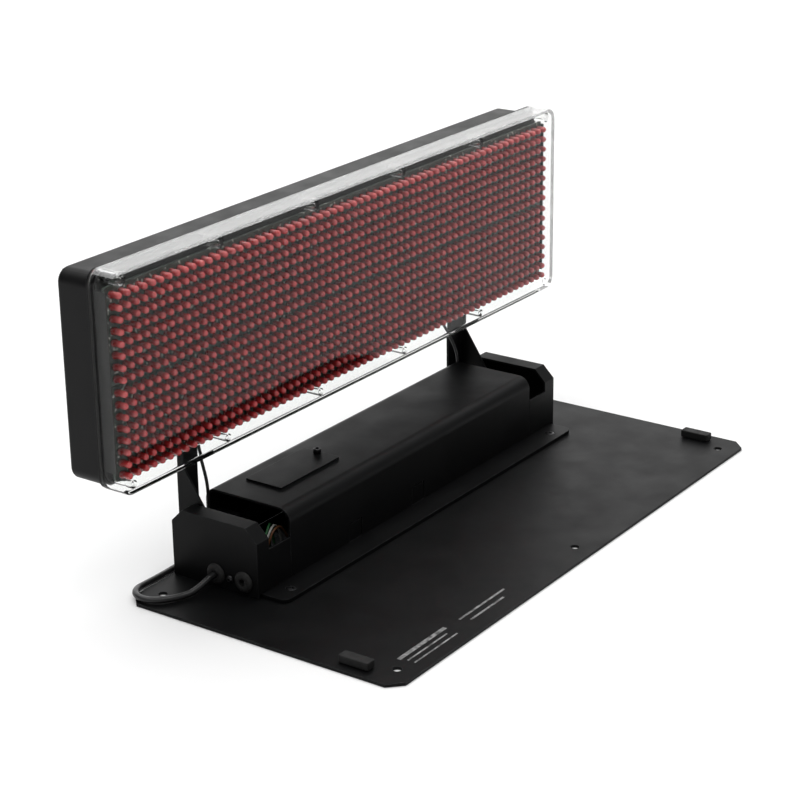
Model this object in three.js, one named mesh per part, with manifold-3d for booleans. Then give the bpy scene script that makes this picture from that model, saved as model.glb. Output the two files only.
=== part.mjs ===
// A fold-up LED message display for a vehicle, in millimetres, +Z up.
// X runs along the display, the LEDs face -Y, and the origin is the middle of the base plate's underside.
// A gear motor in the low box behind turns a shaft through both arms, so the display stands up or folds
// forward, LEDs down, onto the two rubber pads of the base plate.
import * as THREE from 'three';
import { mergeVertices } from 'three/addons/utils/BufferGeometryUtils.js';
import Module from 'manifold-3d';

const wasm = await Module();
wasm.setup();

// ---------- driving dimensions ----------
const SHEET = 1.5; // folded sheet steel
const GAP = 0.3; // clearance between pieces that meet

const PLATE = { length: 453, depth: 211, thick: 2, chamfer: 9, holeInsetX: 20, holeInsetY: 14, hole: 6 };
const PAD = { width: 8, length: 22, height: 5.4, insetX: 6.5, y: -68.5 };

const BOX = { length: 360, frontY: 34.5, rearY: 104.5, height: 49.6, chamfer: 9, rim: 12.5 };
const SLOT = { innerX: 145.6, sillZ: 33, rearSillZ: 10 };
const TRAY = { length: 352, frontY: 15.5, thick: 2.5, corner: 6, screwX: 159, screwY: 24.5 };
const TAB = { places: [-75, -1], width: 13.5, height: 12.7, slotGap: 0.9 };
const COVER = { length: 290.6, height: 51.5, frontRadius: 9, rearRadius: 8 };
const HATCH = { x: -90, y: 74.5, length: 64, depth: 30, thick: 1.2, lip: 3 };
const GROMMET = { z: 12, cordY: 68.5, blankY: 45.8, radius: 7.2, neck: 5.2, proud: 2.4 };
const CHEEK_SCREW = { y: 57, z: 11.2, head: 2.6 };

const HINGE = { y: 94, z: 23.5, shaft: 4, hub: 10.5 };
const ARM = { outerX: 166, innerX: 147.5, rearY: 110.3, thick: 1.5, topZ: 86.4, frontTopY: 105, lugRadius: 12 };
const BLOCK = { x: 134, width: 8, bush: 6, shaftGap: 0.3 };

const GEAR = { module: 0.9, sectorTeeth: 36, pinionTeeth: 12, backlash: 0.28, x: 42, width: 8 };
const MOTOR = { side: 32, length: 24, canRadius: 14, canLength: 52, shaft: 2.5 };
const CAM = { x: 60, width: 6, radius: 6.5, lobe: 8.3 };

const PITCH = 7.62; // LED to LED
const COLUMNS = 64;
const ROWS = 16;
const HALF_GAP = 1.3; // extra space between rows 8 and 9
const LED = { size: 4, proud: 6.1, base: 1.6, tipY: 81.2, bottomRowZ: 97.7 };
const LID = { width: 501, height: 142.4, depth: 18.4, frontY: 78.5, bottomZ: 86.8, wall: 2.5, front: 2.2, corner: 9 };
const POST = { radius: 3.5, lowRadius: 2.8, bore: 1.6, boss: 3.4, x: [49.7, 148.5, 239.5], topInset: 6.1, bottomInset: 5.8 };
const HOUSING = { width: 495, height: 137.5, rearY: 126, wall: 2.5, corner: 9, edge: 3, flange: 1.4, lip: 0.6 };
const SEAL = { thick: 0.7, width: 2.2 };
const BOARD = { width: 490.6, thick: 1.6, top: 4.8, bottom: 3.2 };

const CORD = { radius: 2.25, coreRadius: 0.8 };
const THIN_CABLE = 1.1; // radius of the two display cables
const HANK = { x: -35, y: 130, run: 85, bend: 13.5, columns: 2, rows: 3 };

// ---------- places worked out from them ----------
const plateTop = PLATE.thick;
const trayBottom = plateTop + GAP;
const trayTop = trayBottom + TRAY.thick;
const floorZ = trayTop + GAP;
const halfBox = BOX.length / 2;
const slotOuterX = halfBox - BOX.rim;
const lidRearY = LID.frontY + LID.depth;
const lidCentreZ = LID.bottomZ + LID.height / 2;
const sealY = lidRearY + 0.15;
const flangeY = sealY + SEAL.thick + 0.15;
const housingCentreZ = LID.bottomZ + 0.5 + HOUSING.height / 2;
const housingBottomZ = housingCentreZ - HOUSING.height / 2;
const boardY = LED.tipY + LED.proud + LED.base + 0.2;
const topRowZ = LED.bottomRowZ + (ROWS - 1) * PITCH + HALF_GAP;
const splitZ = LED.bottomRowZ + (ROWS / 2 - 0.5) * PITCH + HALF_GAP / 2;
const sectorRadius = (GEAR.module * GEAR.sectorTeeth) / 2;
const pinionRadius = (GEAR.module * GEAR.pinionTeeth) / 2;
const pinionY = HINGE.y - sectorRadius - pinionRadius;

// ---------- materials ----------
function paint(color, roughness, metalness) {
  return new THREE.MeshStandardMaterial({ color, roughness, metalness });
}
const blackPowder = paint(0x17181a, 0.5, 0.3);
const blackPlastic = paint(0x161616, 0.6, 0);
const rubber = paint(0x0f0f10, 0.9, 0);
const clear = new THREE.MeshStandardMaterial({ color: 0xeef2f2, roughness: 0.08, transparent: true, opacity: 0.3 });
const ledRed = paint(0x9c2a2c, 0.3, 0);
const boardGreen = paint(0x17402c, 0.5, 0);
const steel = paint(0x9a9da0, 0.35, 1);
const brass = paint(0xa88a4a, 0.35, 1);
const grey = paint(0x55585b, 0.5, 0);
const coreColours = { green: paint(0x1f6b35, 0.5, 0), brown: paint(0x5b3417, 0.5, 0), white: paint(0xdadada, 0.5, 0) };

// ---------- shape helpers ----------
// A closed geometry as a solid that can be joined and cut.
function solid(geometry) {
  const bare = new THREE.BufferGeometry().setAttribute('position', geometry.getAttribute('position'));
  if (geometry.index) bare.setIndex(geometry.index);
  const merged = mergeVertices(bare, 1e-4);
  const corners = Array.from(merged.index.array);
  const kept = [];
  for (let i = 0; i < corners.length; i += 3) {
    const [a, b, c] = corners.slice(i, i + 3);
    if (a !== b && b !== c && c !== a) kept.push(a, b, c);
  }
  const vertProperties = new Float32Array(merged.getAttribute('position').array);
  return new wasm.Manifold(new wasm.Mesh({ numProp: 3, vertProperties, triVerts: new Uint32Array(kept) }));
}

// The solid's faces as a flat-shaded three.js geometry.
function geometryOf(shape) {
  const mesh = shape.getMesh();
  const geometry = new THREE.BufferGeometry();
  geometry.setAttribute('position', new THREE.BufferAttribute(new Float32Array(mesh.vertProperties), 3));
  geometry.setIndex(new THREE.BufferAttribute(new Uint32Array(mesh.triVerts), 1));
  const flat = geometry.toNonIndexed();
  flat.computeVertexNormals();
  return flat;
}

function joined(first, ...rest) {
  return rest.reduce((whole, next) => whole.add(next), first);
}

function cut(first, ...rest) {
  return rest.reduce((whole, next) => whole.subtract(next), first);
}

function box(x0, x1, y0, y1, z0, z1) {
  const geometry = new THREE.BoxGeometry(x1 - x0, y1 - y0, z1 - z0);
  return solid(geometry.translate((x0 + x1) / 2, (y0 + y1) / 2, (z0 + z1) / 2));
}

// A box on the left (-1) or right (+1), between two distances from the middle.
function sideBox(side, near, far, y0, y1, z0, z1) {
  return side < 0 ? box(-far, -near, y0, y1, z0, z1) : box(near, far, y0, y1, z0, z1);
}

function outline(points) {
  return new THREE.Shape(points.map(([u, v]) => new THREE.Vector2(u, v)));
}

// A rectangle with its corners cut off.
function chamferedRect(width, height, cutOff, centreU, centreV) {
  const u = width / 2;
  const v = height / 2;
  const c = cutOff;
  const corners = [[u - c, -v], [u, c - v], [u, v - c], [u - c, v], [c - u, v], [-u, v - c], [-u, c - v], [c - u, -v]];
  return corners.map(([a, b]) => [centreU + a, centreV + b]);
}

function roundedRect(width, height, radius, centreU = 0, centreV = 0) {
  const u = width / 2 - radius;
  const v = height / 2 - radius;
  const shape = new THREE.Shape();
  shape.absarc(centreU + u, centreV - v, radius, -Math.PI / 2, 0);
  shape.absarc(centreU + u, centreV + v, radius, 0, Math.PI / 2);
  shape.absarc(centreU - u, centreV + v, radius, Math.PI / 2, Math.PI);
  shape.absarc(centreU - u, centreV - v, radius, Math.PI, Math.PI * 1.5);
  return shape;
}

// Straight extrusions: along X the outline is drawn in (Y, Z), along Y in (X, Z), along Z in (X, Y).
const AXES = {
  x: [new THREE.Vector3(0, 1, 0), new THREE.Vector3(0, 0, 1), new THREE.Vector3(1, 0, 0)],
  y: [new THREE.Vector3(1, 0, 0), new THREE.Vector3(0, 0, 1), new THREE.Vector3(0, -1, 0)],
  z: [new THREE.Vector3(1, 0, 0), new THREE.Vector3(0, 1, 0), new THREE.Vector3(0, 0, 1)],
};

function prism(axis, shape, from, to, bevel = 0, steps = 2) {
  const options = { depth: to - from, curveSegments: 5, bevelEnabled: false };
  if (bevel > 0) {
    options.depth -= 2 * bevel;
    Object.assign(options, { bevelEnabled: true, bevelThickness: bevel, bevelSize: bevel });
    Object.assign(options, { bevelOffset: -bevel, bevelSegments: steps });
  }
  const geometry = new THREE.ExtrudeGeometry(shape, options);
  const start = axis === 'y' ? to - bevel : from + bevel;
  const placed = new THREE.Matrix4().makeBasis(...AXES[axis]);
  geometry.applyMatrix4(placed);
  const along = { x: [start, 0, 0], y: [0, start, 0], z: [0, 0, start] }[axis];
  return solid(geometry.translate(...along));
}

// A round bar between two places along an axis; u and v are its centre in the prism's outline plane.
function rod(axis, u, v, radius, from, to, sides = 20) {
  const shape = outline(ring(sides, radius, u, v));
  return prism(axis, shape, from, to);
}

function ring(sides, radius, u, v) {
  const points = [];
  for (let i = 0; i < sides; i += 1) {
    const angle = (2 * Math.PI * (i + 0.5)) / sides;
    points.push([u + radius * Math.cos(angle), v + radius * Math.sin(angle)]);
  }
  return points;
}

// A round tube along points picked by hand.
function tube(points, radius, sides, steps) {
  const curve = new THREE.CatmullRomCurve3(points.map((p) => new THREE.Vector3(...p)));
  const section = outline(ring(sides, radius, 0, 0));
  return new THREE.ExtrudeGeometry(section, { steps, bevelEnabled: false, extrudePath: curve });
}

const object = new THREE.Group();

function add(name, shape, material) {
  const geometry = shape.isBufferGeometry ? shape : geometryOf(shape);
  const mesh = new THREE.Mesh(geometry, material);
  mesh.name = name;
  object.add(mesh);
  return mesh;
}

const SIDES = [['left', -1], ['right', 1]];

// ---------- base plate and rest pads ----------
function basePlate() {
  const x = PLATE.length / 2;
  const y = PLATE.depth / 2;
  let plate = prism('z', outline(chamferedRect(2 * x, 2 * y, PLATE.chamfer, 0, 0)), 0, PLATE.thick);
  const holeX = x - PLATE.holeInsetX;
  const holeY = y - PLATE.holeInsetY;
  for (const [hx, hy] of [[-holeX, -holeY], [0, -holeY], [holeX, -holeY], [-holeX, holeY], [holeX, holeY]]) {
    plate = cut(plate, rod('z', hx, hy, PLATE.hole / 2, -1, PLATE.thick + 1));
  }
  for (const [, side] of SIDES) {
    plate = cut(plate, rod('z', side * TRAY.screwX, TRAY.screwY, 2, -1, PLATE.thick + 1, 12));
  }
  add('base_plate', plate, blackPowder);
}

function restPads() {
  const bottom = plateTop + GAP;
  for (const [name, side] of SIDES) {
    const x = side * (PLATE.length / 2 - PAD.insetX - PAD.width / 2);
    const shape = outline(chamferedRect(PAD.width, PAD.length, 0.8, x, PAD.y));
    const pad = prism('z', shape, bottom, bottom + PAD.height, 0.5, 1);
    add(`rest_pad_${name}`, pad, rubber);
  }
}

// ---------- mechanism box ----------
function mechanismTray() {
  const middle = (TRAY.frontY + BOX.rearY - SHEET - GAP) / 2;
  const depth = BOX.rearY - SHEET - GAP - TRAY.frontY;
  let tray = prism('z', roundedRect(TRAY.length, depth, TRAY.corner, 0, middle), trayBottom, trayTop);
  for (const [, side] of SIDES) {
    tray = cut(
      tray,
      rod('z', side * TRAY.screwX, TRAY.screwY, 2, 0, trayTop + 1, 12),
      rod('z', side * TRAY.screwX, TRAY.screwY, 3.8, trayTop - 1.6, trayTop + 1, 20),
    );
  }
  for (const x of TAB.places) {
    const y = BOX.frontY + 0.4;
    const w = TAB.width / 2;
    tray = joined(tray, box(x - w, x + w, y, y + SHEET, trayTop - 0.5, trayTop + TAB.height));
  }
  for (const [x, y] of [[-126, 44], [-126, 80], [-54, 44], [-54, 80]]) {
    tray = joined(tray, rod('z', x, y, 2.6, trayTop - 0.5, trayTop + 4, 10));
  }
  add('mechanism_tray', tray, blackPowder);
}

function flangeScrews() {
  for (const [name, side] of SIDES) {
    const x = side * TRAY.screwX;
    const head = rod('z', x, TRAY.screwY, 3.4, trayTop - 1.3, trayTop + 0.2, 20);
    const socket = rod('z', x, TRAY.screwY, 1.4, trayTop - 0.6, trayTop + 1, 6);
    const shank = rod('z', x, TRAY.screwY, 1.6, 0.2, trayTop - 1, 12);
    add(`flange_screw_${name}`, joined(cut(head, socket), shank), blackPowder);
  }
}

function cheekProfile(inset, bottom) {
  const front = BOX.frontY + inset;
  const rear = BOX.rearY - inset;
  const top = BOX.height - inset;
  const c = BOX.chamfer - inset * (2 - Math.SQRT2);
  return outline([[front, bottom], [rear, bottom], [rear, top - c], [rear - c, top], [front + c, top], [front, top - c]]);
}

function endCheeks() {
  for (const [name, side] of SIDES) {
    const slabX = (from, to) => (side < 0 ? [-to, -from] : [from, to]);
    let cheek = prism('x', cheekProfile(0, floorZ), ...slabX(SLOT.innerX, halfBox));
    cheek = cut(cheek, prism('x', cheekProfile(SHEET, floorZ + SHEET), ...slabX(SLOT.innerX - 1, halfBox - SHEET)));
    cheek = joined(cheek, prism('x', cheekProfile(0, trayBottom), ...slabX(halfBox - SHEET, halfBox)));
    const lowerFoot = floorZ + SHEET + 0.1;
    cheek = cut(
      cheek,
      sideBox(side, 140, slotOuterX, 0, 120, SLOT.sillZ, 60),
      sideBox(side, 140, slotOuterX, 70, 120, SLOT.rearSillZ, 60),
      sideBox(side, 140, slotOuterX, BOX.frontY + SHEET, BOX.rearY - SHEET, 0, lowerFoot),
      sideBox(side, 140, halfBox - SHEET, BOX.frontY + SHEET, 80, 0, lowerFoot),
    );
    if (side < 0) {
      const throughPanel = [-halfBox - 1, -halfBox + SHEET + 1];
      cheek = cut(
        cheek,
        rod('x', GROMMET.cordY, GROMMET.z, GROMMET.neck + GAP, ...throughPanel),
        rod('x', GROMMET.blankY, GROMMET.z, GROMMET.neck + GAP, ...throughPanel),
        rod('x', CHEEK_SCREW.y, CHEEK_SCREW.z, 1.6, ...throughPanel, 12),
      );
    }
    add(`end_cheek_${name}`, cheek, blackPowder);
  }
}

// A moulded grommet in the left cheek: a domed flange outside, a neck, and a smaller flange inside.
function grommet(name, y) {
  const face = -halfBox;
  const bore = CORD.radius + GAP;
  let body = joined(
    rod('x', y, GROMMET.z, GROMMET.radius, face - GROMMET.proud * 0.5, face - GAP, 24),
    rod('x', y, GROMMET.z, GROMMET.radius - 1.6, face - GROMMET.proud, face - GROMMET.proud * 0.5 + 0.1, 24),
    rod('x', y, GROMMET.z, GROMMET.neck, face - GAP - 0.1, face + SHEET + GAP + 0.1, 24),
    rod('x', y, GROMMET.z, GROMMET.neck + 0.9, face + SHEET + GAP, face + SHEET + GAP + 1.4, 24),
  );
  body = cut(body, rod('x', y, GROMMET.z, bore, face - 5, face + 5, 16));
  add(name, body, rubber);
}

function cheekScrew() {
  const face = -halfBox;
  const head = rod('x', CHEEK_SCREW.y, CHEEK_SCREW.z, CHEEK_SCREW.head, face - 1.9, face - 0.1, 20);
  const recess = rod('x', CHEEK_SCREW.y, CHEEK_SCREW.z, 1.2, face - 3, face - 1, 6);
  const shank = rod('x', CHEEK_SCREW.y, CHEEK_SCREW.z, 1.3, face - 0.5, face + 6, 12);
  add('cheek_screw', joined(cut(head, recess), shank), blackPowder);
}

function coverProfile(inset) {
  const front = BOX.frontY + inset;
  const rear = BOX.rearY - inset;
  const top = COVER.height - inset;
  const rf = COVER.frontRadius - inset;
  const rr = COVER.rearRadius - inset;
  const bottom = inset > 0 ? 0 : floorZ;
  const shape = new THREE.Shape();
  shape.moveTo(front, bottom);
  shape.lineTo(rear, bottom);
  shape.absarc(rear - rr, top - rr, rr, 0, Math.PI / 2);
  shape.absarc(front + rf, top - rf, rf, Math.PI / 2, Math.PI);
  shape.closePath();
  return shape;
}

function topCover() {
  const half = COVER.length / 2;
  let cover = cut(prism('x', coverProfile(0), -half, half), prism('x', coverProfile(SHEET), -half - 1, half + 1));
  for (const x of TAB.places) {
    const w = TAB.width / 2 + TAB.slotGap;
    cover = cut(cover, box(x - w, x + w, BOX.frontY - 1, BOX.frontY + 6, 0, trayTop + TAB.height + TAB.slotGap));
  }
  const hx = HATCH.length / 2 - HATCH.lip;
  const hy = HATCH.depth / 2 - HATCH.lip;
  const opening = box(HATCH.x - hx, HATCH.x + hx - 4, HATCH.y - hy, HATCH.y + hy, COVER.height - 4, COVER.height + 4);
  const [sx, sy] = hatchScrewPlace();
  cover = cut(cover, opening, rod('z', sx, sy, 1.9, COVER.height - 4, COVER.height + 4, 12));
  add('top_cover', cover, blackPowder);
}

function hatchScrewPlace() {
  return [HATCH.x + HATCH.length / 2 - 3.2, HATCH.y + 1.4];
}

function serviceHatch() {
  const bottom = COVER.height + 0.2;
  const top = bottom + HATCH.thick;
  let hatch = prism('z', roundedRect(HATCH.length, HATCH.depth, 1, HATCH.x, HATCH.y), bottom, top);
  const hx = HATCH.length / 2 - HATCH.lip - 0.4;
  const hy = HATCH.depth / 2 - HATCH.lip - 0.4;
  hatch = joined(hatch, box(HATCH.x - hx, HATCH.x + hx - 4, HATCH.y - hy, HATCH.y + hy, bottom - 1, bottom + 0.3));
  const [sx, sy] = hatchScrewPlace();
  hatch = cut(hatch, rod('z', sx, sy, 1.9, bottom - 2, top + 1, 12));
  add('service_hatch', hatch, blackPowder);

  const seat = top + 0.1;
  const head = rod('z', sx, sy, 2.9, seat, seat + 3.4, 20);
  const socket = rod('z', sx, sy, 1.5, seat + 1.6, seat + 4, 6);
  const shank = rod('z', sx, sy, 1.5, seat - 7, seat + 0.5, 12);
  add('hatch_screw', joined(cut(head, socket), shank), blackPowder);
}

// ---------- hinge ----------
function hingeShaft() {
  const end = ARM.outerX - ARM.thick - GAP - 0.2;
  add('hinge_shaft', rod('x', HINGE.y, HINGE.z, HINGE.shaft, -end, end, 24), steel);
}

function bearings() {
  for (const [name, side] of SIDES) {
    const x0 = BLOCK.x;
    const x1 = BLOCK.x + BLOCK.width;
    const span = side < 0 ? [-x1, -x0] : [x0, x1];
    const rear = BOX.rearY - SHEET - 0.6;
    let block = sideBox(side, x0, x1, HINGE.y - 9, rear, floorZ, HINGE.z + 10);
    block = joined(block, sideBox(side, x0, x1, HINGE.y - 24, HINGE.y - 8, floorZ, floorZ + 3));
    block = cut(block, rod('x', HINGE.y, HINGE.z, BLOCK.bush + 0.25, -200, 200, 24));
    add(`bearing_block_${name}`, block, steel);

    let bush = rod('x', HINGE.y, HINGE.z, BLOCK.bush, ...span, 24);
    const collar = side < 0 ? [-x1 - 1.5, -x1 - 0.2] : [x1 + 0.2, x1 + 1.5];
    const neck = side < 0 ? [-x1 - 0.4, -x1 + 0.2] : [x1 - 0.2, x1 + 0.4];
    bush = joined(
      bush,
      rod('x', HINGE.y, HINGE.z, BLOCK.bush, ...neck, 24),
      rod('x', HINGE.y, HINGE.z, BLOCK.bush + 1.4, ...collar, 24),
    );
    bush = cut(bush, rod('x', HINGE.y, HINGE.z, HINGE.shaft + BLOCK.shaftGap, -200, 200, 24));
    add(`bearing_bush_${name}`, bush, brass);
  }
}

// The side plate's edge: from the lug round the shaft up the slant, then straight to the foot.
function armProfile() {
  const lug = [];
  for (let i = 0; i <= 8; i += 1) {
    const angle = Math.PI + (Math.PI * i) / 8;
    lug.push([HINGE.y + ARM.lugRadius * Math.cos(angle), HINGE.z + ARM.lugRadius * Math.sin(angle)]);
  }
  const slant = [[ARM.frontTopY, ARM.topZ], [ARM.frontTopY, 72.6], [83.6, 40]];
  return outline([...lug, [ARM.rearY, 38], [ARM.rearY, ARM.topZ], ...slant]);
}

function arms() {
  for (const [name, side] of SIDES) {
    const plateX = side < 0 ? [-ARM.outerX, -ARM.outerX + ARM.thick] : [ARM.outerX - ARM.thick, ARM.outerX];
    let arm = prism('x', armProfile(), ...plateX);
    const webFront = ARM.rearY - ARM.thick;
    arm = joined(
      arm,
      sideBox(side, ARM.innerX, ARM.outerX, webFront - 0.5, ARM.rearY, 38, ARM.topZ),
      sideBox(side, ARM.innerX, ARM.outerX, webFront - 9, ARM.rearY, ARM.topZ - ARM.thick, ARM.topZ),
    );
    const hubFar = ARM.outerX - ARM.thick - GAP;
    for (const x of footScrews()) {
      arm = cut(arm, rod('z', side * x, webFront - 5.5, 1.7, ARM.topZ - 4, ARM.topZ + 4, 12));
    }
    add(`arm_${name}`, arm, blackPowder);

    const hubX = side < 0 ? [-hubFar, -153] : [153, hubFar];
    const hub = cut(
      rod('x', HINGE.y, HINGE.z, HINGE.hub, ...hubX, 24),
      rod('x', HINGE.y, HINGE.z, HINGE.shaft + 0.15, -200, 200, 24),
    );
    add(`arm_hub_${name}`, hub, steel);
  }
}

function footScrews() {
  return [ARM.innerX + 4.5, ARM.outerX - 4.5];
}

// ---------- drive ----------
// One flank of an involute tooth: half its angle at a given radius.
function toothHalfAngle(radius, pitchRadius, teeth) {
  const pressure = (20 * Math.PI) / 180;
  const base = pitchRadius * Math.cos(pressure);
  const involute = (a) => Math.tan(a) - a;
  const half = Math.PI / (2 * teeth) - GEAR.backlash / (2 * pitchRadius);
  const here = radius > base ? involute(Math.acos(base / radius)) : 0;
  return half + involute(pressure) - here;
}

// Gear teeth as outline points from one angle to another; full is true for a whole gear.
function toothPoints(teeth, pitchRadius, firstTooth, lastTooth, y, z, turn) {
  const root = pitchRadius - 1.2 * GEAR.module;
  const tip = pitchRadius + 0.85 * GEAR.module;
  const levels = [root, pitchRadius, (pitchRadius + tip) / 2, tip];
  const points = [];
  for (let t = firstTooth; t <= lastTooth; t += 1) {
    const middle = turn + (2 * Math.PI * t) / teeth;
    const rising = levels.map((r) => [r, middle - toothHalfAngle(r, pitchRadius, teeth)]);
    const falling = [...levels].reverse().map((r) => [r, middle + toothHalfAngle(r, pitchRadius, teeth)]);
    for (const [r, a] of [...rising, ...falling]) points.push([y + r * Math.cos(a), z + r * Math.sin(a)]);
  }
  return points;
}

function driveGears() {
  // The sector's middle tooth at rest meets the pinion straight in front of the shaft.
  const teeth = toothPoints(GEAR.sectorTeeth, sectorRadius, -10, 2, HINGE.y, HINGE.z, Math.PI);
  const shape = outline([...teeth, [HINGE.y - 3, HINGE.z - 5], [HINGE.y + 3, HINGE.z + 5]]);
  const x1 = GEAR.x + GEAR.width;
  const sector = cut(
    joined(prism('x', shape, GEAR.x, x1), rod('x', HINGE.y, HINGE.z, 8, GEAR.x, x1 + 4, 24)),
    rod('x', HINGE.y, HINGE.z, HINGE.shaft + 0.15, -200, 200, 24),
  );
  add('drive_sector', sector, steel);

  const halfTooth = Math.PI / GEAR.pinionTeeth;
  const last = GEAR.pinionTeeth - 1;
  const pinionShape = outline(toothPoints(GEAR.pinionTeeth, pinionRadius, 0, last, pinionY, HINGE.z, halfTooth));
  const pinion = cut(
    prism('x', pinionShape, GEAR.x - 0.5, x1 + 0.5),
    rod('x', pinionY, HINGE.z, MOTOR.shaft + 0.15, -200, 200, 20),
  );
  add('drive_pinion', pinion, brass);
}

function gearMotor() {
  const front = GEAR.x - 8;
  const back = front - MOTOR.length;
  const y1 = HINGE.y - 12;
  const z0 = floorZ + 3.4;
  const gearbox = prism('x', roundedRect(MOTOR.side, MOTOR.side, 3, y1 - MOTOR.side / 2, z0 + MOTOR.side / 2), back, front);
  const pocket = rod('x', pinionY, HINGE.z, MOTOR.shaft + GAP, front - 6, front + 1, 20);
  add('motor_gearbox', cut(gearbox, pocket), grey);
  add('gearbox_shaft', rod('x', pinionY, HINGE.z, MOTOR.shaft, front - 5.5, GEAR.x + GEAR.width + 2, 20), steel);

  const canY = y1 - MOTOR.side / 2;
  const canZ = z0 + MOTOR.side / 2;
  const can = joined(
    rod('x', canY, canZ, MOTOR.canRadius, back - GAP - MOTOR.canLength, back - GAP, 28),
    rod('x', canY, canZ, 5, back - GAP - MOTOR.canLength - 3, back - GAP - MOTOR.canLength + 0.5, 16),
  );
  add('drive_motor', can, steel);

  const bracket = cut(
    joined(
      box(front + GAP, front + GAP + 2.5, y1 - MOTOR.side, y1, floorZ, z0 + MOTOR.side),
      box(front - 16, front + GAP + 1, y1 - MOTOR.side, y1, floorZ, floorZ + 2.4),
    ),
    rod('x', pinionY, HINGE.z, 5, front - 1, front + 5, 24),
  );
  add('motor_bracket', bracket, steel);
}

function limitStops() {
  const x1 = CAM.x + CAM.width;
  const lobe = outline([
    [HINGE.y + CAM.radius * 0.9, HINGE.z + 2],
    [HINGE.y - 2, HINGE.z + CAM.lobe],
    [HINGE.y - CAM.lobe, HINGE.z + 2],
    [HINGE.y - CAM.radius * 0.9, HINGE.z - 2],
  ]);
  const cam = cut(
    joined(rod('x', HINGE.y, HINGE.z, CAM.radius, CAM.x, x1, 24), prism('x', lobe, CAM.x, x1)),
    rod('x', HINGE.y, HINGE.z, HINGE.shaft + 0.15, -200, 200, 24),
  );
  add('limit_cam', cam, blackPlastic);

  const bracketX = x1 + 2.4;
  const front = HINGE.y - 26;
  const rear = HINGE.y - 11;
  const bracket = joined(
    box(bracketX, bracketX + SHEET, front, rear, floorZ, 38),
    box(bracketX, bracketX + 12, front, rear, floorZ, floorZ + SHEET),
  );
  add('switch_bracket', bracket, steel);
  for (const [name, z] of [['up', 28], ['down', 12]]) {
    const body = joined(
      box(CAM.x, bracketX - 0.2, front, rear, z, z + 7),
      rod('y', CAM.x + 3, z + 3.5, 0.9, rear - 0.5, rear + 1.4, 10),
    );
    add(`limit_switch_${name}`, body, blackPlastic);
  }
}

// ---------- electronics in the box ----------
function controller() {
  const z0 = trayTop + 4 + GAP;
  const z1 = z0 + 1.6;
  const board = joined(
    box(-130, -50, 40, 84, z0, z1),
    box(-76, -57, 60, 75, z1 - 0.1, z1 + 15),
    box(-100, -81, 60, 75, z1 - 0.1, z1 + 15),
    rod('z', -66, 50, 4, z1 - 0.1, z1 + 12, 14),
    box(-100, -86, 64 - 18, 58, z1 - 0.1, z1 + 3),
    box(-58, -51, 41, 48, z1 - 0.1, z1 + 5),
    box(-129, -122, 74, 82, z1 - 0.1, z1 + 5),
  );
  add('controller_board', board, boardGreen);

  const blockTop = z1 + 10;
  let block = box(-129, -120, 44, 64, z1 + 0.2, blockTop);
  for (const y of [47.5, 54, 60.5]) {
    block = cut(block, rod('z', -124.5, y, 1.6, blockTop - 1.5, blockTop + 1, 12));
  }
  add('terminal_block', block, blackPlastic);

  const fuse = joined(
    box(-114, -96, 42, 45, z1 + 0.2, z1 + 4),
    rod('x', 43.5, z1 + 5, 2.5, -113, -97, 14),
  );
  add('supply_fuse', fuse, grey);
}

// ---------- display ----------
function postPlaces() {
  const top = LID.bottomZ + LID.height - POST.topInset;
  const bottom = LID.bottomZ + POST.bottomInset;
  const places = [];
  for (const x of POST.x) {
    for (const side of [-1, 1]) places.push([side * x, top, POST.radius], [side * x, bottom, POST.lowRadius]);
  }
  return places;
}

function clearLid() {
  const { width, height, wall, corner, front } = LID;
  let lid = prism('y', roundedRect(width, height, corner, 0, lidCentreZ), LID.frontY, lidRearY, 1);
  lid = joined(lid, prism('y', roundedRect(width, height, corner, 0, lidCentreZ), LID.frontY + 4, lidRearY));
  const inside = roundedRect(width - 2 * wall, height - 2 * wall, corner - wall, 0, lidCentreZ);
  lid = cut(lid, prism('y', inside, LID.frontY + front, lidRearY + 1));
  for (const [x, z, radius] of postPlaces()) {
    lid = joined(lid, rod('y', x, z, radius, LID.frontY + front - 0.5, lidRearY, 14));
  }
  for (const [x, z] of postPlaces()) {
    lid = cut(lid, rod('y', x, z, POST.bore, LID.frontY + front + 1, lidRearY + 1, 8));
  }
  add('clear_lid', lid, clear);
}

function lidSeal() {
  const { width, height, corner } = LID;
  const w = SEAL.width;
  const outer = roundedRect(width - 0.6, height - 0.6, corner, 0, lidCentreZ);
  const inner = roundedRect(width - 2 * w, height - 2 * w, corner - w, 0, lidCentreZ);
  const seal = cut(
    prism('y', outer, sealY, sealY + SEAL.thick),
    prism('y', inner, sealY - 1, sealY + SEAL.thick + 1),
  );
  add('lid_seal', seal, rubber);
}

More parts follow.
